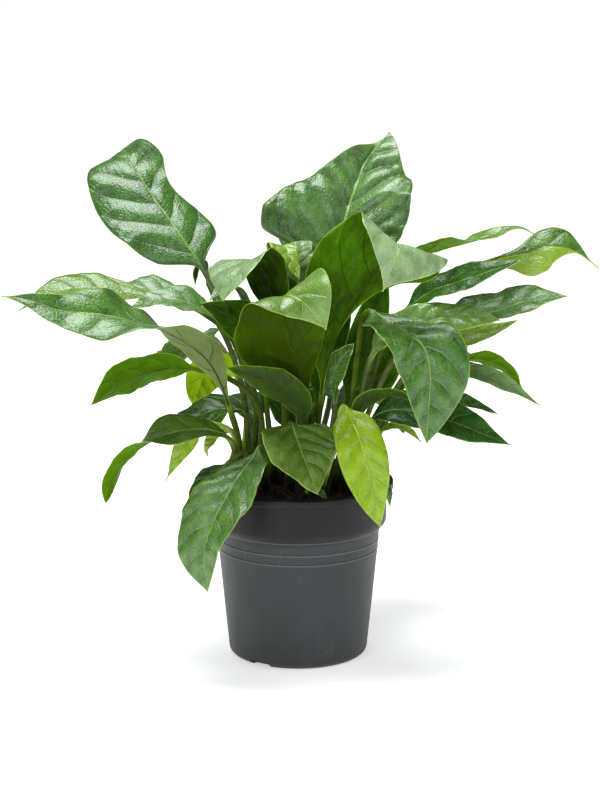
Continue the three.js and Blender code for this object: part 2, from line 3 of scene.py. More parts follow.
import bpy
import numpy as np
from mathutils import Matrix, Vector


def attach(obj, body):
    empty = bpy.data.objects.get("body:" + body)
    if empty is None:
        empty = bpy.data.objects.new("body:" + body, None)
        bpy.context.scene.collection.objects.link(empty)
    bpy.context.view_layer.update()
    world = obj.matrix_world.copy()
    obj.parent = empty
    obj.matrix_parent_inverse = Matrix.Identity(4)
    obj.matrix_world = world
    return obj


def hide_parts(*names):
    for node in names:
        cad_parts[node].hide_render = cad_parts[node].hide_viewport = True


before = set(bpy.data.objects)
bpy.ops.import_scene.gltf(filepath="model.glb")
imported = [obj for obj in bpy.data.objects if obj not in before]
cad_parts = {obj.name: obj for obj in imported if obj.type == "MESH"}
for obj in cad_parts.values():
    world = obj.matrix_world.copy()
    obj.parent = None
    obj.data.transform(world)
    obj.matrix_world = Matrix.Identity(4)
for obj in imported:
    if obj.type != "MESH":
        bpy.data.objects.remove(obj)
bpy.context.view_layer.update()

# Anthurium in a nursery pot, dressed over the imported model. The dictionaries are in millimetres, as in
# the CAD, and in metres only where a note says so. The meshes are in metres, colours are sRGB 0..255.
mm = 0.001
up = np.array([0.0, 0.0, 1.0])
scene = bpy.context.scene


def addObject(name, data):
    made = bpy.data.objects.new(name, data)
    scene.collection.objects.link(made)
    return made


def newMesh(name, points, faces):
    mesh = bpy.data.meshes.new(name)
    mesh.from_pydata([tuple(p) for p in points], [], faces)
    return mesh


def addNode(tree, kind, inputs=None, **settings):  # an input is a value or a socket to link from
    made = tree.nodes.new(kind)
    for key, value in settings.items():
        setattr(made, key, value)
    for key, value in (inputs or {}).items():
        if isinstance(value, bpy.types.NodeSocket):
            tree.links.new(value, made.inputs[key])
        else:
            made.inputs[key].default_value = value
    return made


camera = {"place": (0.002, -2.5, 0.805), "tilt": 78.25, "lens": 139.9, "sensor": 36}  # place in metres


def makeCamera():
    data = bpy.data.cameras.new("camera")
    data.sensor_fit = "HORIZONTAL"
    data.sensor_width = camera["sensor"]
    data.lens = camera["lens"]
    made = addObject("camera", data)
    made.location = camera["place"]
    made.rotation_euler = (math.radians(camera["tilt"]), 0, 0)
    scene.camera = made


makeCamera()
print("camera made")


class Wire:  # one shader socket; arithmetic on it adds Math nodes
    def __init__(self, shader, socket):
        self.shader, self.socket = shader, socket

    def math(self, operation, *others):
        return self.shader.math(operation, self, *others)

    def __add__(self, other):
        return self.math("ADD", other)

    __radd__ = __add__

    def __sub__(self, other):
        return self.math("SUBTRACT", other)

    def __rsub__(self, other):
        return self.shader.math("SUBTRACT", other, self)

    def __mul__(self, other):
        return self.math("MULTIPLY", other)

    def __pow__(self, other):
        return self.math("POWER", other)

    def out(self, name):  # another output of the same node
        return Wire(self.shader, self.socket.node.outputs[name])


class Shader:  # a node material with one Principled surface
    def __init__(self, name):
        self.material = bpy.data.materials.new(name)
        self.material.use_nodes = True
        self.tree = self.material.node_tree
        self.tree.nodes.clear()

    def node(self, kind, inputs=None, output=0, **settings):
        pairs = (inputs or {}).items()
        plain = {key: value.socket if isinstance(value, Wire) else value for key, value in pairs}
        made = addNode(self.tree, "ShaderNode" + kind, plain, **settings)
        return Wire(self, made.outputs[output] if len(made.outputs) else None)

    def math(self, operation, *values):
        return self.node("Math", dict(enumerate(values)), operation=operation)

    def spot(self):  # place on the piece, in metres
        return self.node("TexCoord", output="Object")

    def split(self, vector, axis):
        return self.node("SeparateXYZ", {"Vector": vector}, axis)

    def step(self, value, low, high, lowOut=0.0, highOut=1.0):  # smooth change between two values
        inputs = {0: value, 1: low, 2: high, 3: lowOut, 4: highOut}
        return self.node("MapRange", inputs, interpolation_type="SMOOTHSTEP")

    def mix(self, factor, first, second):  # of two wires or sRGB colours, which become linear
        inputs = {0: factor}
        for socket, color in ((6, first), (7, second)):
            if not isinstance(color, Wire):
                color = (*((c / 255) ** 2.2 for c in color), 1.0)
            inputs[socket] = color
        return self.node("Mix", inputs, 2, data_type="RGBA", clamp_factor=True)

    def noise(self, place, scale, detail=2.0, roughness=0.5):
        inputs = {"Vector": place, "Scale": scale, "Detail": detail, "Roughness": roughness}
        return self.node("TexNoise", inputs, "Fac")

    def voronoi(self, place, scale, feature="F1"):
        return self.node("TexVoronoi", {"Vector": place, "Scale": scale}, "Distance", feature=feature)

    def surface(self, inputs, bump=None, strength=1.0):  # bump heights are in mm
        if bump is not None:
            inputs["Normal"] = self.node("Bump", {"Height": bump, "Distance": mm, "Strength": strength})
        self.node("OutputMaterial", {"Surface": self.node("BsdfPrincipled", inputs)})
        return self.material


def addPiece(name, points, faces, material, slot, uvs=None, attributes=None):
    mesh = newMesh(name, points, faces)
    if uvs is not None:
        layer = mesh.uv_layers.new(name="leafMap")
        corners = np.zeros(len(mesh.loops), int)
        mesh.loops.foreach_get("vertex_index", corners)
        layer.data.foreach_set("uv", np.asarray(uvs)[corners].ravel())
    for key, values in (attributes or {}).items():
        made = mesh.attributes.new(key, "FLOAT", "POINT")
        made.data.foreach_set("value", np.asarray(values, float))
    mesh.materials.append(material)
    mesh.shade_smooth()
    piece = addObject(name, mesh)
    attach(piece, "root")
    return piece


# Leaves. A path runs from the stalk's foot [x, y] over [x, y, z] points to the tip, and foot is the
# point where the blade starts. Pairs are left and right of the midrib, angles are in degrees. tone
# lightens the upper face and wax whitens it with a painted sheen. underToneAndShade darkens the underside,
# partly as its own tone and partly as painted shade, and pale blooms it, where glow is light from behind.
# lime turns both yellower, quilt swells the fields between side veins, specks are droplets with painted
# glints.
leafDefaults = {
    "foot": 2, "shape": [0.8, 0.9], "roll": 0, "fold": 12, "curl": 0, "bay": [0, 0, 0, 1],
    "finish": "mature", "tone": 0, "paintedSheen": 0, "lime": 0, "limeSide": 0, "underToneAndShade": -0.1, "pale": 0,
    "glow": 0, "quilt": 1, "specks": 0,
}
leaves = {
    "top_left": {"path": [[-24, 28], [-51, 36, 278], [-82, 52, 376], [-104, 66, 417], [-120, 76, 440],
        [-144, 98, 471], [-167, 120, 499], [-185, 142, 525], [-196, 164, 538], [-204, 186, 539],
        [-211, 204, 526]], "foot": 3, "width": [64, 50], "shape": [[0.72, 0.72], [0.4, 0.5]], "roll": 42,
        "fold": [10, -22], "curl": [-10, 0], "bay": [1, 0.5, 0.45, 0.2], "tone": -0.5, "quilt": 2.3,
        "veins": 6, "paintedSheen": 0.05},
    "top_right": {"path": [[12, 30], [35, 34, 278], [37, 32, 379], [40, 38, 425], [50, 52, 471],
        [62, 72, 507], [75, 94, 536], [102, 118, 567]], "foot": 3, "width": [90, 74],
        "shape": [[0.45, 1.8], [0.5, 0.8]], "roll": -30, "fold": 14, "quilt": 6, "veins": 6, "paintedSheen": 0.1},
    "left_long": {"path": [[-64, -22], [-64, -28, 244], [-72, -34, 276], [-82, -42, 310], [-97, -50, 339],
        [-120, -58, 360], [-154, -66, 378], [-183, -72, 387], [-214, -78, 394], [-250, -82, 398],
        [-281, -84, 409], [-312, -80, 413]], "width": [42, 37], "shape": [1.8, 1.6],
        "roll": [-70, -50, -26, 0, 48, 50, 40], "fold": 8, "tone": 0.15, "underToneAndShade": -0.2, "quilt": 1.4,
        "glow": -0.3, "pale": 0.7},
    "left_young": {"path": [[-52, 16], [-47, 4, 284], [-68, 8, 345], [-102, 10, 379], [-151, 12, 394],
        [-194, 12, 401], [-237, 10, 407], [-275, 6, 398], [-304, 0, 384]], "foot": 3, "width": 28,
        "shape": [3.5, 1.8], "roll": 20, "fold": 15, "tone": -0.35, "quilt": 0.6, "lime": 0.35},
    "left_hump": {"path": [[-54, 30], [-64, 34, 301], [-93, 36, 370], [-117, 40, 388], [-150, 42, 398],
        [-183, 42, 401], [-210, 42, 396]], "foot": 3, "width": 24, "shape": [0.9, 1], "roll": 20,
        "fold": 10, "tone": 0.15, "quilt": 0.7, "paintedSheen": 0.2},
    "left_upper": {"path": [[-48, 4], [-40, 0, 263], [-55, -6, 309], [-65, -12, 343], [-84, -18, 375],
        [-106, -22, 391], [-129, -25, 400], [-154, -26, 400], [-180, -26, 392]], "foot": 4, "width": 23,
        "shape": [0.9, 1.1], "roll": 25, "tone": 0.1, "quilt": 0.8, "paintedSheen": 0.15},
    "left_olive": {"path": [[-50, -12], [-39, -18, 261], [-52, -22, 295], [-76, -24, 314],
        [-106, -26, 324], [-130, -28, 326], [-160, -32, 322], [-192, -36, 310], [-223, -40, 288]],
        "foot": 4, "width": 26, "shape": [1.1, 1], "roll": -55, "finish": "dark", "underToneAndShade": -0.15,
        "glow": 0.3, "lime": 0.12, "specks": 0.3},
    "left_bright": {"path": [[-64, 48], [-58, 50, 263], [-65, 56, 296], [-83, 60, 309], [-100, 64, 303],
        [-112, 68, 282], [-117, 70, 262]], "width": 22, "roll": -60, "finish": "young", "glow": 1.6},
    "left_behind": {"path": [[-32, 50], [-52, 70, 282], [-59, 78, 312], [-75, 86, 317], [-95, 94, 302],
        [-112, 98, 282]], "width": 18, "roll": 10, "lime": 0.3},
    "left_twist": {"path": [[-70, -34], [-71, -50, 248], [-92, -56, 263], [-118, -62, 265],
        [-145, -68, 260], [-169, -72, 247], [-188, -76, 230], [-200, -78, 210], [-206, -80, 189]],
        "foot": 1, "width": 24, "shape": [0.9, 0.8], "roll": [35, 35, -30, -72], "finish": "dark",
        "tone": 0.2, "quilt": 1.5, "glow": 1, "lime": 0.15},
    "left_hanging": {"path": [[-72, -8], [-72, -14, 252], [-96, -14, 261], [-114, -12, 254],
        [-125, -10, 236], [-136, -8, 215], [-146, -8, 195]], "width": 13, "shape": [0.9, 1.7], "roll": 70,
        "finish": "young"},
    "left_pale": {"path": [[-80, 8], [-69, 14, 244], [-82, 16, 247], [-94, 18, 238], [-101, 18, 227],
        [-100, 18, 217]], "width": 8, "roll": 60, "finish": "young", "tone": 0.3, "pale": 0.6},
    "left_shade": {"path": [[-68, 22], [-45, 22, 244], [-62, 20, 266], [-84, 16, 272], [-106, 12, 266],
        [-126, 8, 259], [-141, 4, 248]], "width": 22, "roll": 20, "finish": "dark"},
    "front_left": {"path": [[-36, -42], [-32, -52, 230], [-39, -62, 246], [-49, -78, 237], [-62, -96, 224],
        [-77, -116, 202], [-89, -130, 181], [-98, -138, 153], [-95, -140, 108]], "width": [37, 38],
        "shape": [[0.7, 1.1], [1.3, 1]], "tone": 0.2, "quilt": 1.5, "veins": 7, "specks": 0.3, "paintedSheen": 0.05},
    "front_gloss": {"path": [[-56, -44], [-58, -50, 238], [-75, -62, 228], [-92, -72, 212],
        [-105, -78, 196], [-111, -80, 179]], "width": 18, "roll": 20, "finish": "dark"},
    "front_center": {"path": [[-8, -42], [-8, -46, 237], [-8, -56, 270], [-1, -76, 257], [5, -90, 243],
        [12, -100, 227], [20, -108, 206]], "width": [41, 45], "shape": [0.5, 1], "finish": "dark",
        "tone": 0.5, "quilt": 2.8, "veins": 5, "specks": 1, "lime": 0.2},
    "front_young": {"path": [[24, -60], [41, -64, 255], [48, -60, 290], [59, -78, 274], [68, -96, 253],
        [75, -106, 225], [80, -110, 200], [87, -112, 171]], "width": [25, 30], "shape": [0.7, 1],
        "heading": -85, "finish": "young", "tone": -0.12, "quilt": 1.4, "veins": 6, "specks": 0.6},
    "front_small": {"path": [[6, -66], [10, -72, 199], [19, -79, 203], [32, -86, 192]], "foot": 1,
        "width": 6},
    "front_tip": {"path": [[58, -52], [73, -66, 228], [84, -78, 216], [94, -88, 205], [98, -92, 188]],
        "foot": 1, "width": 8},
    "center_fold": {"path": [[6, -24], [11, -32, 275], [4, -46, 311], [-2, -60, 341], [-10, -74, 367],
        [-16, -90, 396], [-15, -106, 417], [4, -124, 415], [29, -136, 387]], "foot": 1, "width": [52, 56],
        "shape": [[1.8, 1], [1.3, 1.4]], "roll": [-10, -10, -10, -25, -30], "fold": 6, "heading": -85,
        "tone": 0.35, "underToneAndShade": -1.05, "quilt": 2.6, "glow": -1, "specks": 0.3, "lime": 0.2,
        "paintedSheen": 0.05},
    "center_olive": {"path": [[12, -44], [8, -48, 267], [-1, -60, 295], [-20, -76, 314], [-40, -86, 326],
        [-57, -93, 334], [-74, -98, 340]], "foot": 1, "width": 20, "roll": -50, "finish": "dark",
        "underToneAndShade": -0.75, "glow": -0.6, "pale": 0.2},
    "center_drop": {"path": [[-20, -20], [-15, -12, 276], [-18, -10, 326], [-21, -13, 367],
        [-27, -20, 403], [-35, -31, 431], [-49, -50, 447], [-63, -77, 438], [-78, -98, 411]], "foot": 3,
        "width": [32, 46], "shape": [1.3, 0.9], "roll": [-10, -10, -20], "fold": 8, "tone": 0.4,
        "quilt": 1.2, "glow": -0.6, "paintedSheen": 0.45},
    "center_left": {"path": [[-26, -8], [-33, -14, 266], [-37, -26, 324], [-45, -40, 361], [-62, -52, 381],
        [-81, -62, 394], [-103, -72, 404]], "width": [26, 24], "shape": [0.8, 1], "roll": -50,
        "finish": "dark", "glow": -0.2},
    "center_bright": {"path": [[-2, 4], [-16, 2, 285], [-17, 6, 362], [-20, 6, 411], [-21, 2, 437],
        [-17, -12, 457], [-9, -30, 447], [1, -44, 426]], "foot": 4, "width": [12, 18], "shape": [0.8, 1],
        "fold": 14, "heading": -60, "tone": 0.3, "quilt": 0.6, "glow": 0.6, "lime": 0.5, "specks": 0.5},
    "center_top": {"path": [[6, 12], [0, 8, 283], [2, 2, 373], [2, 3, 412], [1, 1, 437], [4, 7, 450],
        [14, 16, 458]], "foot": 3, "width": 17, "shape": [0.8, 0.8], "heading": 75, "tone": 0.3,
        "quilt": 0.5, "glow": 0.2, "specks": 0.4, "paintedSheen": 0.4},
    "center_big": {"path": [[16, -12], [24, -26, 285], [30, -33, 323], [41, -39, 361], [58, -46, 398],
        [81, -53, 435], [95, -60, 457], [103, -70, 468], [103, -82, 462], [97, -92, 443], [88, -100, 421]],
        "foot": 1, "width": [58, 66], "shape": [[8, 2.2], [2.2, 1.6]],
        "roll": [0, 0, 0, 0, 0, 0, 10, 39, 25, 15, 10], "fold": 6, "heading": -90, "tone": 0.6,
        "underToneAndShade": -0.35, "quilt": 1.4, "glow": 0.1, "specks": 0.3, "paintedSheen": 0.45},
    "center_small": {"path": [[24, -22], [40, -24, 286], [36, -24, 310], [44, -25, 330], [60, -24, 352]],
        "foot": 1, "width": 17, "roll": -50},
    "right_top": {"path": [[30, 16], [57, 14, 282], [76, 14, 360], [96, 10, 414], [116, 6, 440],
        [145, 0, 449], [181, -6, 459], [217, -10, 470], [238, -12, 476], [257, -14, 468]], "foot": 3,
        "width": [30, 24], "shape": [[0.6, 1.4], [0.9, 0.9]], "roll": [20, 25, -5, -15], "tone": 0.1,
        "glow": 1.4, "lime": 0.25},
    "right_far": {"path": [[40, 8], [70, 8, 283], [98, 6, 351], [141, 0, 404], [181, -6, 429],
        [217, -10, 442], [249, -14, 449], [273, -18, 456], [298, -20, 451], [323, -20, 434]], "foot": 3,
        "width": [24, 27], "shape": [[7, 3], [9, 6]], "roll": -8, "fold": [40, -50], "tone": 0.15,
        "quilt": 1.4, "glow": 1.2, "lime": 0.6, "limeSide": 1},
    "right_inner": {"path": [[40, -8], [72, -8, 281], [93, -15, 349], [114, -20, 385], [141, -29, 409],
        [170, -42, 422], [199, -54, 434], [235, -66, 449]], "foot": 3, "width": [20, 19],
        "shape": [0.8, 1], "roll": -40, "finish": "dark", "tone": 0.2, "quilt": 1.6},
    "right_mid": {"path": [[50, -14], [80, -16, 283], [106, -20, 336], [144, -26, 370], [178, -30, 383],
        [211, -34, 389], [239, -38, 399], [264, -41, 404], [287, -43, 407]], "foot": 3, "width": [27, 24],
        "shape": [0.9, 1], "roll": -32, "tone": 0.35, "quilt": 1.4},
    "right_under": {"path": [[54, 2], [94, 4, 273], [122, 2, 318], [155, 0, 345], [185, -3, 357],
        [213, -6, 363], [238, -8, 375]], "width": [20, 18], "shape": [0.9, 1.1], "roll": -35, "tone": 0.2,
        "glow": 1.4, "lime": 0.8},
    "right_shoulder": {"path": [[34, -28], [63, -26, 279], [78, -28, 335], [96, -35, 366], [126, -48, 378],
        [159, -56, 386], [191, -60, 387], [214, -61, 384]], "width": [21, 28], "shape": [0.9, 1],
        "roll": -46, "tone": 0.2, "quilt": 3.2, "veins": 8, "lime": 0.15, "paintedSheen": 0.1},
    "front_right": {"path": [[38, -40], [56, -40, 271], [63, -34, 336], [74, -26, 387], [95, -48, 380],
        [116, -84, 373], [132, -98, 361], [138, -106, 337], [137, -110, 303], [135, -112, 262]], "foot": 3,
        "width": 42, "shape": [[1.2, 1], [0.6, 1]], "fold": 10, "heading": -78, "tone": -0.02,
        "quilt": 2.2, "veins": 7, "specks": 0.5},
    "right_low": {"path": [[62, -28], [76, -32, 264], [97, -38, 281], [129, -46, 281], [163, -54, 273],
        [197, -58, 260], [228, -60, 248]], "foot": 1, "width": 26, "shape": [0.9, 1.1], "roll": -40,
        "finish": "dark", "tone": 0.1, "quilt": 1.4},
    "right_behind": {"path": [[60, 26], [95, 24, 257], [134, 20, 279], [165, 16, 284], [191, 14, 278],
        [219, 12, 267]], "width": 10, "roll": -30, "finish": "dark"},
    "right_tip": {"path": [[76, -22], [87, -22, 250], [102, -22, 260], [119, -23, 256], [134, -24, 243]],
        "foot": 1, "width": 7, "roll": -20, "finish": "young"},
    "right_olive": {"path": [[50, -42], [60, -50, 262], [69, -56, 291], [88, -62, 303], [107, -66, 304],
        [127, -70, 296]], "foot": 1, "width": 12, "roll": 40, "finish": "dark", "underToneAndShade": -0.6,
        "glow": -0.6, "pale": 0.15},
    "right_brown": {"path": [[64, 12], [103, 14, 282], [138, 12, 316], [177, 10, 328], [208, 8, 328],
        [230, 6, 316], [245, 4, 298]], "foot": 3, "width": 12, "shape": [0.9, 1.1], "roll": 50,
        "finish": "dark", "glow": 0.6, "lime": 0.2},
    "shade_center": {"path": [[2, 23], [20, 22, 275], [26, 20, 315], [33, 18, 360], [39, 16, 404],
        [43, 16, 435]], "foot": 1, "width": 24, "shape": [1, 0.8], "fold": 10, "heading": -90,
        "finish": "dark"},
    "shade_right": {"path": [[26, 2], [52, 0, 279], [63, -3, 319], [75, -8, 359], [87, -14, 398],
        [96, -22, 421]], "foot": 1, "width": 20, "shape": [1, 0.9], "fold": 10, "heading": -90,
        "finish": "dark"},
    "shade_behind": {"path": [[-8, 38], [2, 40, 277], [-2, 44, 332], [-9, 48, 388], [-13, 52, 430]],
        "foot": 1, "width": 26, "shape": [1, 0.8], "fold": 10, "heading": -90, "finish": "dark"},
    "wavy_drop": {"path": [[-30, 7], [-33, 9, 261], [-46, 18, 315], [-56, 14, 366], [-61, 2, 398],
        [-70, -12, 412], [-82, -26, 411], [-94, -38, 402]], "width": [16, 18], "roll": 10, "fold": 8},
    "right_long": {"path": [[68, -8], [100, -8, 270], [131, -10, 304], [163, -13, 320], [197, -16, 317],
        [232, -19, 302], [263, -22, 283]], "width": 15, "shape": [0.9, 1.1], "roll": -30, "tone": 0.3,
        "quilt": 1.4, "paintedSheen": 0.3},
    "left_bud": {"path": [[-42, 40], [-45, 52, 268], [-56, 58, 301], [-78, 66, 351], [-100, 78, 402],
        [-107, 82, 425], [-113, 78, 416], [-115, 74, 401]], "foot": 4, "width": 8, "fold": 10,
        "tone": -0.2},
    "right_shade": {"path": [[44, 30], [57, 28, 263], [68, 29, 281], [84, 30, 301], [101, 30, 326],
        [112, 29, 353]], "foot": 1, "width": 22, "roll": 88, "fold": 10, "heading": 0, "finish": "dark",
        "tone": -0.3},
    "back_mid": {"path": [[0, 84], [0, 95, 215], [-2, 112, 262], [-4, 142, 298], [-4, 184, 300],
        [-4, 212, 272]], "foot": 1, "width": 36, "shape": [0.7, 1], "curl": -10, "finish": "dark",
        "tone": -0.4},
    "back_high": {"path": [[6, 48], [10, 78, 320], [14, 110, 410], [20, 170, 468], [26, 228, 455],
        [30, 272, 408]], "width": 52, "shape": [0.7, 0.85], "curl": -10},
    "back_center": {"path": [[-12, 66], [-16, 110, 290], [-22, 160, 350], [-28, 215, 345],
        [-32, 258, 300]], "foot": 1, "width": 42, "shape": [0.7, 0.85], "curl": -10},
    "back_left": {"path": [[-46, 58], [-66, 104, 280], [-98, 152, 326], [-130, 196, 312],
        [-154, 226, 270]], "width": 40, "shape": [0.7, 0.85], "roll": 10, "curl": -10},
    "back_right": {"path": [[42, 52], [76, 104, 285], [120, 150, 338], [164, 188, 325], [194, 216, 280]],
        "width": 42, "shape": [0.7, 0.85], "roll": -10, "curl": -10},
    "back_low_left": {"path": [[-34, 72], [-44, 98, 234], [-78, 164, 255], [-98, 208, 232],
        [-108, 236, 190]], "foot": 1, "width": 32, "shape": [0.7, 0.85], "curl": -10, "finish": "dark"},
    "back_low_right": {"path": [[30, 76], [42, 98, 236], [84, 162, 260], [110, 204, 238], [126, 232, 196]],
        "foot": 1, "width": 34, "shape": [0.7, 0.85], "curl": -10, "finish": "dark"},
}

leafForm = {
    "thickness": 0.9, "edge": 0.5, "rib": 1.1, "ribSpread": 1.6, "groove": 0.5, "grooveSpread": 1.1,
    "ribLine": 1.3, "ribLineWidth": 50,
    "stalk": 3.0, "sheath": 4.1, "sheathShare": 0.5, "merge": 0.16,
    "knee": 0.18, "kneeShift": 0.02, "kneeSpread": 0.05,
    "soilTop": 188, "holeDepth": 15, "clearance": 0.3, "sproutRise": 3,
    "narrowest": 0.7, "waveShare": 0.09, "waveCount": 2.2, "waveStart": 0.13, "waveShift": 0.45,
    "rippleShare": 0.03, "ripples": (5.7, 9.3), "rippleShift": 0.3,
    "quilt": 0.8, "quiltPower": 0.65, "quiltWidth": 24,
    "veinGap": 30, "veinRange": (5, 8), "veinSlant": (0.8, 0.3), "veinShift": 0.42, "veinTurn": 0.37,
    # mesh density: samples between two points of a path, then rows and columns
    "pathSteps": 20, "spacing": 2.4, "fewest": 32, "most": 96, "stalkSpacing": 6, "stalkFewest": 12,
    "acrossStep": 2.8, "acrossRange": (9, 20),
}


def smoothPath(points):  # centripetal Catmull-Rom through the points: places, lengths, lookup
    ends = [2 * points[0] - points[1], *points, 2 * points[-1] - points[-2]]
    parts = len(points) - 1

    def place(t):
        t = np.clip(t, 0, parts)
        index = np.minimum(t.astype(int), parts - 1)
        w = (t - index)[:, None]
        p = [np.array([ends[i + k] for i in index]) for k in range(4)]
        gaps = [np.maximum(np.linalg.norm(p[k + 1] - p[k], axis=1) ** 0.5, 1e-6)[:, None] for k in range(3)]
        first = (p[1] - p[0]) / gaps[0] - (p[2] - p[0]) / (gaps[0] + gaps[1]) + (p[2] - p[1]) / gaps[1]
        last = (p[2] - p[1]) / gaps[1] - (p[3] - p[1]) / (gaps[1] + gaps[2]) + (p[3] - p[2]) / gaps[2]
        first, last = first * gaps[1], last * gaps[1]
        square = -3 * p[1] + 3 * p[2] - 2 * first - last
        cube = 2 * p[1] - 2 * p[2] + first + last
        return p[1] + first * w + square * w**2 + cube * w**3

    steps = np.linspace(0, parts, parts * leafForm["pathSteps"] + 1)
    samples = place(steps)
    lengths = np.concatenate([[0], np.cumsum(np.linalg.norm(np.diff(samples, axis=0), axis=1))])
    return place, steps, lengths


def along(values, v):  # one number, or several spread evenly along the blade
    values = np.atleast_1d(values).astype(float)
    if len(values) == 1:
        return np.full(v.shape, values[0])
    place = np.clip(v, 0, 1) * (len(values) - 1)
    index = np.minimum(place.astype(int), len(values) - 2)
    part = place - index
    return values[index] + (values[index + 1] - values[index]) * part**2 * (3 - 2 * part)


def sided(values, u):  # left or right value by the sign of u
    pair = np.atleast_1d(values)
    return np.where(u < 0, pair[0], pair[-1])


def outline(shape, v):
    base, tip = shape
    peak = base / (base + tip)
    v = np.clip(v, 0, 1)
    return v**base * (1 - v) ** tip / (peak**base * (1 - peak) ** tip)


def veinPhase(leaf, length, u, v, span):  # whole numbers fall on the side veins
    straight, bent = leafForm["veinSlant"]
    reach = np.abs(u)
    forward = span * (straight + bent * reach**3) / length
    side = np.where(u < 0, leafForm["veinShift"], 0)
    shift = leaf["veinShift"]
    bend = 0.12 * np.sin(2 * np.pi * (1.3 * v + 2 * shift + side))
    return leaf["veins"] * (v - forward) + shift + side + bend + 0.03 * np.sin(9 * reach + 20 * shift)


def crossSection(leaf, waveStart, length, u, v):  # out, rise and half width of the middle surface
    form = leafForm
    shapes = leaf["shape"] if isinstance(leaf["shape"][0], list) else [leaf["shape"]] * 2
    share = np.where(u < 0, outline(shapes[0], v), outline(shapes[1], v))
    baySide, bayPlace, bayDepth, baySpread = leaf["bay"]
    bay = 1 - bayDepth * np.exp(-(((v - bayPlace) / baySpread) ** 2))
    share = share * np.where(u * baySide > 0, bay, 1)
    half = np.maximum(sided(leaf["width"], u) * share, form["narrowest"])
    fold = np.radians(sided(leaf["fold"], u))
    curl = sided(leaf["curl"], u).astype(float)
    curl = np.radians(np.where(curl == 0, 0.01, curl))
    reach = np.abs(u)
    out = half * (np.sin(fold + curl * reach) - np.sin(fold)) / curl
    rise = half * (np.cos(fold) - np.cos(fold + curl * reach)) / curl

    # long waves and fine ripples in the edges, which die out towards base and tip
    fade = np.minimum(1, np.minimum(4 * v, 5 * (1 - v)))
    phase = form["waveCount"] * v + waveStart + np.where(u < 0, form["waveShift"], 0)
    waveSize = form["waveShare"] * np.max(leaf["width"])
    rise = rise + waveSize * reach**2 * np.sin(2 * np.pi * phase) * fade
    rippleStart = 3 * waveStart + np.where(u < 0, form["rippleShift"], 0)
    slow, quick = (np.sin(2 * np.pi * (count * v + rippleStart)) for count in form["ripples"])
    rise = rise + form["rippleShare"] * half * reach**3 * (slow + 0.6 * slow * quick + 0.3 * quick) * fade

    # the fields between the side veins swell
    vein = veinPhase(leaf, length, u, v, reach * half)
    swell = np.abs(np.sin(np.pi * vein)) ** form["quiltPower"] * (1 - reach**4) * np.minimum(1, 6 * reach)
    quilt = form["quilt"] * leaf["quilt"]
    rise = rise + quilt * swell * fade * np.minimum(1, half / form["quiltWidth"])
    return np.sign(u) * out, rise, half


def leafAxis(leaf):  # rows along stalk and blade, with a sideways and an upward direction for each
    form = leafForm
    (footX, footY), *rest = leaf["path"]
    inSoil = [form["clearance"] - form["holeDepth"], -form["holeDepth"] / 2, form["sproutRise"]]
    points = [np.array([footX, footY, form["soilTop"] + h]) for h in inSoil]
    points += [np.array(p, float) for p in rest]
    place, steps, lengths = smoothPath(points)
    stalkLength = lengths[(leaf["foot"] + len(inSoil) - 1) * form["pathSteps"]]
    length = lengths[-1] - stalkLength
    stalkCount = max(int(stalkLength / form["stalkSpacing"]), form["stalkFewest"])
    bladeCount = int(np.clip(length / form["spacing"], form["fewest"], form["most"]))
    blade = np.arange(bladeCount + 1) / bladeCount
    stalkRows = np.linspace(0, stalkLength, stalkCount, endpoint=False)
    distance = np.concatenate([stalkRows, stalkLength + length * blade])
    v = np.concatenate([np.linspace(-stalkLength / length, 0, stalkCount, endpoint=False), blade])
    t = np.interp(distance, lengths, steps)
    tangents = place(t + 1e-3) - place(t - 1e-3)
    tangents /= np.linalg.norm(tangents, axis=1)[:, None]
    heading = points[-1] - points[0]
    if "heading" in leaf:
        angle = math.radians(leaf["heading"])
        heading = np.array([math.cos(angle), math.sin(angle), 0])
    heading[2] = 0
    level = np.cross(heading / np.linalg.norm(heading), up)
    sides = level - tangents * (tangents @ level)[:, None]
    sides /= np.linalg.norm(sides, axis=1)[:, None]
    roll = -np.radians(along(leaf["roll"], v))[:, None]
    sides = sides * np.cos(roll) + np.cross(tangents, sides) * np.sin(roll)
    normals = np.cross(sides, tangents)
    return v, distance, place(t), sides, normals, length, stalkLength


def leafFaces(rows, count):  # closed skin over the rings, and for each face whether it is underneath
    wide = 2 * count
    faces, lower = [], []
    for row in range(rows - 1):
        here, there = row * wide, (row + 1) * wide
        for column in range(wide):
            nextColumn = (column + 1) % wide
            a, b, c, d = here + column, here + nextColumn, there + nextColumn, there + column
            # both faces are split along the same diagonal, so a strong twist never crosses them
            faces += [(a, b, c), (a, c, d)] if column < count else [(a, b, d), (b, c, d)]
            lower += [column >= count - 1] * 2
    for start, flip in ((0, True), ((rows - 1) * wide, False)):
        for column in range(count - 1):
            left, right = start + column, start + wide - 1 - column
            quad = (left, left + 1, right - 1, right)
            faces.append(quad[::-1] if flip else quad)
            lower.append(False)
    return faces, lower


def mirrored(grid):  # the upper points' values, then the same ones back along the underside
    return np.concatenate([grid, grid[:, ::-1]], axis=1)


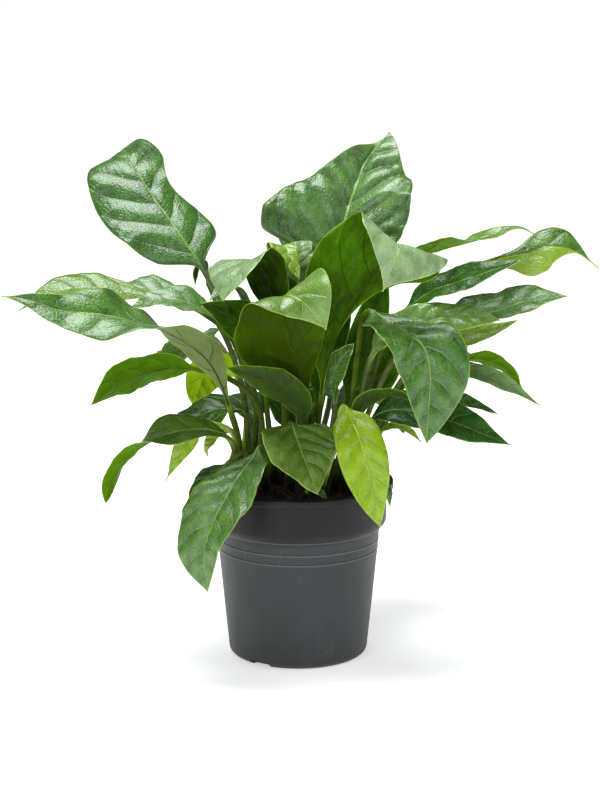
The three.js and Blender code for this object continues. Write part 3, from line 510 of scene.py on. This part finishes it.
def leafMesh(name, leaf):
    form = leafForm
    v, distance, centers, sides, normals, length, stalkLength = leafAxis(leaf)
    widest = np.max(leaf["width"])
    count = 2 * int(np.clip(widest / form["acrossStep"], *form["acrossRange"])) + 1
    across = np.linspace(-1, 1, count)
    u = np.sign(across) * (0.7 * np.abs(across) + 0.3 * across**2)  # closer together at the midrib
    uGrid, vGrid = np.meshgrid(u, v)
    leaf.setdefault("veins", int(np.clip(length / form["veinGap"], *form["veinRange"])))
    waveStart = form["waveStart"] * len(name)
    out, rise, half = crossSection(leaf, waveStart, length, uGrid, np.clip(vGrid, 0, 1))

    reach = np.abs(uGrid)
    span = reach * half
    toTip = np.clip(1 - vGrid, 0, 1)
    thick = form["thickness"] / 2 * (1 - (1 - form["edge"]) * reach**6)
    rib = form["rib"] * toTip * np.exp(-((span / form["ribSpread"]) ** 2))
    groove = form["groove"] * toTip * np.exp(-((span / form["grooveSpread"]) ** 2))
    sheath = np.maximum(0, 1 - distance / (form["sheathShare"] * stalkLength))
    radius = form["stalk"] + (form["sheath"] - form["stalk"]) * sheath
    knee = np.exp(-((v + form["kneeShift"]) / form["kneeSpread"]) ** 2)  # swollen joint under the blade
    radius = (radius * (1 + form["knee"] * knee))[:, None]
    merge = np.clip(vGrid / form["merge"], 0, 1)
    blend = merge**2 * (3 - 2 * merge)
    angle = np.pi * (1 - (2 * np.arange(2 * count) + 1) / (2 * count))
    rings = []
    for face, turn in ((1, angle[:count]), (-1, angle[count:][::-1])):
        stalkX, stalkZ = radius * np.cos(turn), radius * np.sin(turn)
        height = rise + face * thick - (rib if face < 0 else groove)
        x = stalkX + (out - stalkX) * blend
        z = stalkZ + (height - stalkZ) * blend
        rings.append(centers[:, None] + sides[:, None] * x[..., None] + normals[:, None] * z[..., None])
    points = np.concatenate([rings[0], rings[1][:, ::-1]], axis=1).reshape(-1, 3) * mm
    uvs = mirrored(np.stack([uGrid / 2 + 0.5, vGrid], axis=-1)).reshape(-1, 2)

    # values that the shaders read
    ribHalf = form["ribLine"] * (0.3 + 0.7 * widest / form["ribLineWidth"]) * (0.35 + toTip)
    grids = {
        "vein": veinPhase(leaf, length, uGrid, vGrid, span), "span": span, "rib": span / ribHalf,
        "margin": half * (1 - reach),
        "lime": np.where(uGrid * leaf["limeSide"] < 0, 0.1, 1) * leaf["lime"],
    }
    attributes = {key: mirrored(grid).ravel() for key, grid in grids.items()}
    even = {"glow": leaf["glow"], "specks": leaf["specks"], "cell": length / leaf["veins"]}
    for key, value in even.items():
        attributes[key] = np.full(len(points), float(value))
    # tone and pale hold tone and wax on the upper face, underToneAndShade (partly painted shade) and pale
    # underneath
    for key, upper, under in (("tone", "tone", "underToneAndShade"), ("pale", "paintedSheen", "pale")):
        attributes[key] = np.tile(np.repeat([leaf[upper], leaf[under]], count), len(v))
    return points, *leafFaces(len(v), count), uvs, attributes


leafTones = {
    "mature": {
        "light": (80, 128, 40), "deep": (28, 68, 14), "vein": (128, 168, 84), "rib": (150, 186, 92),
        "dull": (44, 58, 14), "bright": (84, 134, 4), "underRib": (66, 82, 26), "stalk": (84, 104, 32),
    },
    "dark": {
        "light": (46, 94, 14), "deep": (14, 46, 4), "vein": (84, 128, 50), "rib": (134, 172, 70),
        "dull": (36, 54, 12), "bright": (70, 122, 0), "underRib": (78, 96, 42), "stalk": (78, 98, 30),
    },
    "young": {
        "light": (150, 184, 26), "deep": (122, 160, 16), "vein": (186, 212, 84), "rib": (202, 222, 110),
        "dull": (104, 140, 20), "bright": (152, 194, 20), "underRib": (170, 196, 80),
        "stalk": (134, 164, 62),
    },
}
leafLook = {
    # wax is a painted whitish sheen for the upper faces, droplet a painted white glint on droplets
    "margin": (158, 192, 74), "dropletGlint": (222, 232, 208), "lime": (150, 186, 28), "paintedSheen": (166, 190, 146),
    # damp is painted shade on the stalks just above the soil
    "pale": (128, 140, 92), "stalkShade": (18, 15, 10), "stalkShadeHeights": (0.196, 0.236),  # metres
    "gloss": {"upper": 0.27, "under": 0.5}, "stalkDulling": 0.3,
    "shine": {"mature": 0.55, "dark": 0.34, "young": 0.4, "under": 0.05},
    "coat": {"upper": 0.15, "under": 0.0}, "coatGloss": 0.2, "scatter": 0.08, "scatterDepth": 0.002,
    "broad": 26, "middle": 90, "fine": 420, "net": 230, "dropsAndGlints": 300,  # texture scales
    "sideVein": (0.35, 1.3), "fineVein": (0.1, 0.6), "marginWidth": (0.3, 1.2),  # mm, from full to none
    "patch": (0.32, 0.7), "stalkStart": (-0.02, 0.06),
    "hueShift": 0.012, "paleShift": 0.12, "lightShift": 0.5,  # what tone does
}


def leafMaterial(name, tone, face):
    look = leafLook
    shader = Shader("leaf_%s_%s" % (name, face))

    def attribute(key):
        return shader.node("Attribute", output="Fac", attribute_name=key)

    spot = shader.spot()
    across = shader.split(shader.node("UVMap", uv_map="leafMap"), "X")
    length, reach = across.out("Y"), ((across - 0.5) * 2).math("ABSOLUTE")
    vein, cell = attribute("vein"), attribute("cell")
    broad, middle, fine = (shader.noise(spot, look[key], 3, 0.6) for key in ("broad", "middle", "fine"))

    # side veins, the finer ones half-way between them, and streaks across the fields between
    ridge = vein.math("PINGPONG", 0.5)
    crest = (ridge * 2) ** 0.6
    between = (vein + 0.5 + (middle - 0.5) * 0.1).math("PINGPONG", 0.5)
    fade = shader.step(reach, 0.55, 0.95, 1, 0.25)
    sideVein = shader.step(ridge * cell, *look["sideVein"], 1, 0) * fade
    fineVein = shader.step(between * cell, *look["fineVein"], 1, 0) * fade
    streakPlace = shader.node("CombineXYZ", {0: attribute("span") * 0.14, 1: vein * 1.7, 2: broad * 2})
    streaks = shader.noise(streakPlace, 1.0, 3, 0.6)
    net = shader.step(shader.voronoi(spot, look["net"], "DISTANCE_TO_EDGE"), 0.02, 0.2, 1, 0)
    rib = shader.step(attribute("rib"), 0.45, 1.0, 1, 0)
    margin = shader.step(attribute("margin") + (middle - 0.5) * 0.8, *look["marginWidth"], 1, 0)
    # droplets: the relief raises them, the colour paints white glints on them
    dropsAndGlints = shader.step(shader.voronoi(spot, look["dropsAndGlints"]), 0.1, 0.2, 1, 0)
    dropsAndGlints = dropsAndGlints * shader.step(middle, 0.53, 0.6) * attribute("specks")
    # patches of deep and light green; crest adds a little painted shade along the vein valleys
    patch = shader.step(broad * 0.4 + middle * 0.2 + crest * 0.1 + streaks * 0.3, *look["patch"])
    if face == "upper":
        blade = shader.mix(patch, tone["deep"], tone["light"])
        # painted whitish sheen over the upper face
        blade = shader.mix(attribute("pale") * (0.5 + patch * 0.5), blade, look["paintedSheen"])
        blade = shader.mix(net * 0.1 + fineVein * 0.12 + sideVein * 0.5, blade, tone["vein"])
        blade = shader.mix(rib * 0.8, blade, tone["rib"])
        relief = crest * 1.1 - sideVein * 0.6 - rib * 0.4 - net * 0.15 + streaks * 1.1
    else:
        glow = attribute("glow") * 0.5 + 0.35 + reach * 0.35 + (broad - 0.5) * 1.6 + (streaks - 0.5) * 1.1
        blade = shader.mix(glow, tone["dull"], tone["bright"])
        blade = shader.mix(attribute("pale") * (0.7 + broad * 0.6), blade, look["pale"])
        veins = net * 0.14 + fineVein * 0.2 + sideVein * 0.6 + rib * 0.9
        blade = shader.mix(veins, blade, tone["underRib"])
        relief = sideVein * 0.6 + rib * 0.3 - crest * 0.9 + streaks * 1.4
    lime = attribute("lime") * (0.55 + broad * 0.9) * (1 - patch * 0.3)
    blade = shader.mix(lime, blade, look["lime"])
    blade = shader.mix(margin * 0.7, blade, look["margin"])
    # painted white glints on the droplets
    blade = shader.mix(dropsAndGlints * 0.8, blade, look["dropletGlint"])

    # the stalk is mottled, with painted shade darkening it just above the soil
    mottle = shader.step(shader.noise(spot, 60, 4, 0.65), 0.35, 0.62)
    stalk = shader.mix(mottle, tone["underRib"], tone["stalk"])
    # painted shade on the stalk's foot
    stalkShade = shader.step(shader.split(spot, "Z"), *look["stalkShadeHeights"], 0.9, 0)
    stalk = shader.mix(stalkShade, stalk, look["stalkShade"])
    onStalk = shader.step(length, *look["stalkStart"], 1, 0)
    color = shader.mix(onStalk, blade, stalk)
    # per-leaf tone; on the underside it is underToneAndShade, which is partly painted shade
    shift = attribute("tone")
    tint = {"Hue": 0.5 - shift * look["hueShift"], "Saturation": 1 - shift * look["paleShift"],
            "Value": 1 + shift * look["lightShift"], "Color": color}
    color = shader.node("HueSaturation", tint)
    relief = relief + fine * 0.15 + middle * 0.4 + dropsAndGlints * 0.6
    inputs = {
        "Base Color": color,
        "Roughness": look["gloss"][face] + (middle - 0.5) * 0.16 + onStalk * look["stalkDulling"],
        "Specular IOR Level": look["shine"][name if face == "upper" else face],
        "Coat Weight": look["coat"][face], "Coat Roughness": look["coatGloss"],
        "Subsurface Weight": look["scatter"], "Subsurface Scale": look["scatterDepth"],
    }
    return shader.surface(inputs, relief)


def makeLeaves():
    materials = {
        name: [leafMaterial(name, tone, face) for face in ("upper", "under")]
        for name, tone in leafTones.items()
    }
    for number, (name, own) in enumerate(leaves.items()):
        leaf = {**leafDefaults, **own, "veinShift": leafForm["veinTurn"] * number % 1}
        points, faces, lowerFaces, uvs, attributes = leafMesh(name, leaf)
        upper, under = materials[leaf["finish"]]
        piece = addPiece("blade_" + name, points, faces, upper, "leaf_" + leaf["finish"], uvs, attributes)
        piece.data.materials.append(under)
        piece.data.polygons.foreach_set("material_index", np.array(lowerFaces, dtype=np.int32))
        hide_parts("leaf_" + name)
    print("leaves made:", len(leaves))


makeLeaves()

# Pot. Its outer wall is a turned profile with finer rounds than the CAD's; beads are the fine ridges,
# and beadForm gives a ridge's out and up for each point of it.
pot = {
    "height": 197, "lipRadius": 105, "lipDepth": 9, "lipRound": 2, "chamfer": 1.5, "bandRadius": 97.5,
    "bodyRadius": 90, "shoulder": 143, "shoulderRound": 9, "shoulderStep": 3, "beads": (121, 132),
    "bead": 1, "beadForm": ((0, -1.6), (0.25, -0.9), (0.45, -0.1), (0.35, 0.6), (0, 1.2)),
    "baseRadius": 77, "baseCorner": 9, "wall": 2.4, "sides": 160, "sharpAngle": 32,
    "slots": 3, "slotWidth": 24, "slotHeight": 6, "slotInner": 64, "slotReach": 10, "slotTurn": -4,
}
potLook = {
    # band is painted shade for the band under the lip
    "plastic": (51, 53, 54), "dust": (67, 69, 71), "scuff": (120, 120, 120), "bandShade": (11, 12, 12),
    "bandShadeHeights": (0.138, 0.16), "dustHeights": (0.0, 0.15),  # metres
    # rubbed is a painted highlight along the ridges
    "ridgeHighlight": (104, 106, 108), "ridgeHighlightHeights": (120.6, 131.6, 146), "ridgeHighlightWidth": (0.3, 0.9),
    "shine": 0.35, "relief": 0.6,
}


def arc(x, z, radius, first, last, steps):
    angles = np.radians(np.linspace(first, last, steps + 1))
    return [(x + radius * math.cos(a), z + radius * math.sin(a)) for a in angles]


def revolve(profile, sides):  # closed skin round Z; the profile starts and ends on the axis
    rings = profile[1:-1]
    angles = 2 * np.pi * np.arange(sides) / sides
    points = [(0, 0, profile[0][1])]
    points += [(r * math.cos(a), r * math.sin(a), z) for r, z in rings for a in angles]
    points.append((0, 0, profile[-1][1]))
    faces = [(0, 1 + (k + 1) % sides, 1 + k) for k in range(sides)]
    for row in range(len(rings) - 1):
        here, there = 1 + row * sides, 1 + (row + 1) * sides
        for k in range(sides):
            n = (k + 1) % sides
            faces.append((here + k, here + n, there + n, there + k))
    last = 1 + (len(rings) - 1) * sides
    faces += [(len(points) - 1, last + k, last + (k + 1) % sides) for k in range(sides)]
    return points, faces


def potProfile():
    p = pot
    height, wall, corner, chamfer, lipRound = (
        p[key] for key in ("height", "wall", "baseCorner", "chamfer", "lipRound"))
    bandHeight = p["shoulder"] + p["shoulderRound"] + p["shoulderStep"]
    taper = (p["bodyRadius"] - p["baseRadius"]) / p["shoulder"]
    profile = [(0, 0), *arc(p["baseRadius"] - corner, corner, corner, -90, 0, 8)]
    for z in p["beads"]:
        radius = p["baseRadius"] + taper * z
        profile += [(radius + p["bead"] * rise, z + drop) for rise, drop in p["beadForm"]]
    profile.append((p["bodyRadius"], p["shoulder"]))
    profile += arc(p["bandRadius"] - p["shoulderRound"], bandHeight, p["shoulderRound"], -50, 0, 8)
    lipBottom = height - p["lipDepth"]
    profile.append((p["bandRadius"], lipBottom - chamfer))
    profile += arc(p["lipRadius"] - chamfer, lipBottom + chamfer, chamfer, -90, 0, 4)
    profile += arc(p["lipRadius"] - lipRound, height - lipRound, lipRound, 0, 90, 5)
    profile += arc(p["bandRadius"] - wall + 1, height - 1, 1, 90, 180, 3)
    profile += [
        (p["bandRadius"] - wall, p["shoulder"] + p["shoulderRound"]),
        (p["bodyRadius"] - wall, p["shoulder"] - wall), (p["baseRadius"] - wall, corner),
        (p["baseRadius"] - corner, wall), (0, wall),
    ]
    return profile


def plainMesh(holder):  # the modifiers' result as the object's own mesh
    bpy.context.view_layer.update()
    graph = bpy.context.evaluated_depsgraph_get()
    made = bpy.data.meshes.new_from_object(holder.evaluated_get(graph))
    holder.modifiers.clear()
    holder.data = made


def potMaterial():
    look = potLook
    shader = Shader("potPlastic")
    spot = shader.spot()
    stretched = shader.node("Mapping", {"Vector": spot, "Scale": (1, 1, 0.12)})
    cloud = shader.noise(spot, 14, 4, 0.6)
    streak = shader.noise(stretched, 160, 3, 0.6)
    grain = shader.noise(spot, 1400, 2, 0.5)
    height = shader.split(spot, "Z")
    dust = shader.step(cloud * 0.7 + streak * 0.3, 0.42, 0.7)
    dust = dust * shader.step(height, *look["dustHeights"], 1, 0.6)
    leaning = shader.node("Mapping", {"Vector": spot, "Scale": (1, 1, 0.3), "Rotation": (0.5, 0.2, 0)})
    scratches = shader.voronoi(leaning, 26, "DISTANCE_TO_EDGE")
    scuff = shader.step(scratches, 0.004, 0.012, 1, 0) * shader.step(cloud, 0.52, 0.66)
    color = shader.mix(dust * 0.6, look["plastic"], look["dust"])
    color = shader.mix(scuff * 0.12, color, look["scuff"])
    # painted shade over the band under the lip, where the lip and the leaves shade it
    inBandShade = shader.step(height + (cloud - 0.5) * 0.02, *look["bandShadeHeights"])
    color = shader.mix(inBandShade, color, look["bandShade"])
    for z in look["ridgeHighlightHeights"]:  # painted highlight along the ridges
        away = (height * 1000 - z).math("ABSOLUTE")
        color = shader.mix(shader.step(away, *look["ridgeHighlightWidth"], 0.6, 0), color, look["ridgeHighlight"])
    rough = 0.5 + dust * 0.1 + (streak - 0.5) * 0.1
    relief = grain * 0.05 + streak * 0.05 + cloud * 0.3
    inputs = {"Base Color": color, "Roughness": rough, "Specular IOR Level": look["shine"]}
    return shader.surface(inputs, relief, look["relief"])


def slotCutter(turn):  # a box across the wall's foot, turned about the pot's axis
    inner, outer = pot["slotInner"], pot["baseRadius"] + pot["slotReach"]
    half = pot["slotWidth"] / 2
    cos, sin = math.cos(turn), math.sin(turn)
    points = []
    for z in (-pot["slotHeight"], pot["slotHeight"]):
        for x, y in ((inner, -half), (outer, -half), (outer, half), (inner, half)):
            points.append(((x * cos - y * sin) * mm, (x * sin + y * cos) * mm, z * mm))
    sides = [(0, 3, 2, 1), (4, 5, 6, 7), (0, 1, 5, 4), (1, 2, 6, 5), (2, 3, 7, 6), (3, 0, 4, 7)]
    return addObject("slotCutter", newMesh("slotCutter", points, sides))


def makePot():
    points, faces = revolve(potProfile(), pot["sides"])
    piece = addPiece("potShell", np.array(points) * mm, faces, potMaterial(), "pot")
    start = math.radians(pot["slotTurn"])
    cutters = [slotCutter(start + 2 * math.pi * slot / pot["slots"]) for slot in range(pot["slots"])]
    for cutter in cutters:
        cut = piece.modifiers.new("slot", "BOOLEAN")
        cut.operation, cut.solver, cut.object = "DIFFERENCE", "EXACT", cutter
    plainMesh(piece)
    for cutter in cutters:
        bpy.data.objects.remove(cutter)
    piece.data.shade_smooth()
    piece.data.set_sharp_from_angle(angle=math.radians(pot["sharpAngle"]))
    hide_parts("pot")


makePot()
print("pot made")

# Soil: a rough top with loose crumbs strewn on it. line is the side's profile inside the pot.
soil = {
    "top": 188, "bottom": 2.7, "radius": 94.5, "line": ((67, 2.7), (74, 9.6), (87, 140.6), (94.5, 152)),
    "rings": 60, "sides": 180, "rough": 1.6, "small": 0.55, "dome": 8,
    "crumbs": 70000, "crumbReach": 6, "seed": 7, "turnSeed": 3, "sizeSeed": 5,
    "crumbSize": 0.0021, "crumbRange": ((0.25, 0.2, 0.15), (1.3, 0.8, 0.6)),  # metres, then its shares
    "lumpScale": 700.0, "lumpPush": 0.003,  # metres
}
soilLook = {
    "bed": {"deep": (24, 18, 14), "light": (52, 40, 30), "scale": 120},
    "crumb": {"deep": (30, 23, 18), "light": (86, 62, 42), "scale": 240},
    "fibre": (104, 84, 62), "shine": 0.15,
}


def soilMaterial(name, deep, light, scale):
    shader = Shader(name)
    spot = shader.spot()
    cloud = shader.noise(spot, scale, 5, 0.7)
    fibre = shader.noise(spot, scale * 5, 3, 0.7)
    color = shader.mix(shader.step(cloud, 0.42, 0.68), deep, light)
    color = shader.mix(shader.step(fibre, 0.66, 0.74) * 0.7, color, soilLook["fibre"])
    rough = 0.75 + (fibre - 0.5) * 0.3
    inputs = {"Base Color": color, "Roughness": rough, "Specular IOR Level": soilLook["shine"]}
    return shader.surface(inputs, cloud * 1.5 + fibre * 0.6)


def soilLift(x, y):  # two sizes of unevenness on a low dome
    wave = math.sin(0.31 * x + math.sin(0.17 * y)) + math.cos(0.27 * y - math.sin(0.23 * x))
    small = math.sin(1.1 * x + 1.7 * math.sin(0.9 * y)) + math.cos(1.3 * y - 1.5 * math.sin(0.7 * x))
    dome = soil["dome"] * (1 - (x * x + y * y) / soil["radius"] ** 2)
    return soil["rough"] * (wave / 2 - 1) + soil["small"] * small + dome


def makeSoil():
    top = soil["top"]
    radii = np.linspace(0, soil["radius"], soil["rings"] + 1)[:0:-1]
    profile = [(0, soil["bottom"]), *soil["line"], *((r, top) for r in radii), (0, top)]
    points, faces = revolve(profile, soil["sides"])
    points = [(x, y, z + soilLift(x, y)) if z == top else (x, y, z) for x, y, z in points]
    material = soilMaterial("pottingSoil", **soilLook["bed"])
    piece = addPiece("soilBed", np.array(points) * mm, faces, material, "soil")
    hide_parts("soil")
    return piece


def crumbTree(material):
    tree = bpy.data.node_groups.new("crumbs", "GeometryNodeTree")
    tree.interface.new_socket("Geometry", in_out="INPUT", socket_type="NodeSocketGeometry")
    lowest = (soil["top"] - soil["crumbReach"]) * mm
    sizes = {"Density": soil["crumbs"], "Size": soil["crumbSize"], "Lowest": lowest}
    for key in sizes:
        tree.interface.new_socket(key, in_out="INPUT", socket_type="NodeSocketFloat")
    tree.interface.new_socket("Geometry", in_out="OUTPUT", socket_type="NodeSocketGeometry")

    def add(kind, inputs=None, **settings):
        return addNode(tree, kind, inputs, **settings)

    entry, leave = add("NodeGroupInput"), add("NodeGroupOutput")
    place = add("GeometryNodeInputPosition")
    height = add("ShaderNodeSeparateXYZ", {0: place.outputs[0]})
    heights = {0: height.outputs[2], 1: entry.outputs["Lowest"]}
    onTop = add("FunctionNodeCompare", heights, operation="GREATER_THAN")
    strewn = add("GeometryNodeDistributePointsOnFaces", {
        "Mesh": entry.outputs["Geometry"], "Selection": onTop.outputs[0],
        "Density": entry.outputs["Density"], "Seed": soil["seed"]})
    lump = add("GeometryNodeMeshIcoSphere", {"Radius": 1.0, "Subdivisions": 2})
    fullTurn = {0: (0, 0, 0), 1: (6.3, 6.3, 6.3), "Seed": soil["turnSeed"]}
    turn = add("FunctionNodeRandomValue", fullTurn, data_type="FLOAT_VECTOR")
    smallest, largest = soil["crumbRange"]
    shares = {0: smallest, 1: largest, "Seed": soil["sizeSeed"]}
    share = add("FunctionNodeRandomValue", shares, data_type="FLOAT_VECTOR")
    size = {0: share.outputs[0], "Scale": entry.outputs["Size"]}
    scaled = add("ShaderNodeVectorMath", size, operation="SCALE")
    placed = add("GeometryNodeInstanceOnPoints", {
        "Points": strewn.outputs["Points"], "Instance": lump.outputs[0], "Rotation": turn.outputs[0],
        "Scale": scaled.outputs[0]})
    real = add("GeometryNodeRealizeInstances", {0: placed.outputs[0]})
    rough = add("ShaderNodeTexNoise", {"Scale": soil["lumpScale"], "Detail": 2.0})
    middle = {0: rough.outputs["Color"], 1: (0.5, 0.5, 0.5)}
    centered = add("ShaderNodeVectorMath", middle, operation="SUBTRACT")
    push = {0: centered.outputs[0], "Scale": soil["lumpPush"]}
    offset = add("ShaderNodeVectorMath", push, operation="SCALE")
    moved = add("GeometryNodeSetPosition", {"Geometry": real.outputs[0], "Offset": offset.outputs[0]})
    dressed = add("GeometryNodeSetMaterial", {"Geometry": moved.outputs[0], "Material": material})
    tree.links.new(dressed.outputs[0], leave.inputs[0])
    return tree, sizes


def strewCrumbs(bed):
    crumbs = addObject("soilCrumbs", bed.data.copy())
    tree, sizes = crumbTree(soilMaterial("soilCrumb", **soilLook["crumb"]))
    strew = crumbs.modifiers.new("crumbs", "NODES")
    strew.node_group = tree
    for item in tree.interface.items_tree:
        if item.name in sizes:
            strew[item.identifier] = sizes[item.name]
    plainMesh(crumbs)
    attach(crumbs, "root")
    print("soil crumbs:", len(crumbs.data.polygons), "faces")


strewCrumbs(makeSoil())
print("soil made")

# Floor, world and lights, in metres. The floor's own glow grows between its first two distances, from
# its third value to its fourth.
studio = {
    "floor": 30.0, "floorColor": (240, 240, 240), "floorSpots": (228, 228, 228),
    "glow": (0.1, 0.9, 0.5, 0.95), "backdrop": 1.0, "ambient": 0.22,
    "lamps": {
        "overhead": {"place": (-0.4, 0.2, 2.4), "size": 1.4, "power": 64},
        "front": {"place": (-1.2, -2.6, 1.5), "size": 1.6, "power": 26},
        "side": {"place": (2.2, -0.8, 1.1), "size": 1.4, "power": 14},
    },
    "aim": (0, 0, 0.3), "lampColor": (0.95, 0.98, 1.0),
}


def makeFloor():
    half = studio["floor"] / 2
    corners = [(-half, -half, 0), (half, -half, 0), (half, half, 0), (-half, half, 0)]
    mesh = newMesh("floor", corners, [(0, 1, 2, 3)])
    shader = Shader("floorPaper")
    spot = shader.spot()
    tone = shader.mix(shader.noise(spot, 3) * 0.1, studio["floorColor"], studio["floorSpots"])
    away = shader.node("VectorMath", {0: spot}, "Value", operation="LENGTH")
    glow = shader.step(away, *studio["glow"])
    inputs = {"Base Color": tone, "Roughness": 0.9, "Emission Color": glow, "Emission Strength": 1.0}
    mesh.materials.append(shader.surface(inputs))
    addObject("floor", mesh)


def makeWorld():  # white behind the plant, dimmer as a light on it
    world = bpy.data.worlds.new("studio")
    world.use_nodes = True
    tree = world.node_tree
    background = tree.nodes["Background"]
    background.inputs["Color"].default_value = (1, 1, 1, 1)
    ray = addNode(tree, "ShaderNodeLightPath")
    seen = ray.outputs["Is Camera Ray"]
    levels = {"Value": seen, "To Min": studio["ambient"], "To Max": studio["backdrop"]}
    strength = addNode(tree, "ShaderNodeMapRange", levels)
    tree.links.new(strength.outputs["Result"], background.inputs["Strength"])
    scene.world = world
    scene.view_settings.view_transform = "Standard"


def makeLamps():
    aim = Vector(studio["aim"])
    for name, lamp in studio["lamps"].items():
        data = bpy.data.lights.new(name, "AREA")
        data.size = lamp["size"]
        data.energy = lamp["power"]
        data.color = studio["lampColor"]
        made = addObject(name, data)
        made.location = lamp["place"]
        made.rotation_euler = (aim - Vector(lamp["place"])).to_track_quat("-Z", "Y").to_euler()


makeFloor()
makeWorld()
makeLamps()
print("studio made")
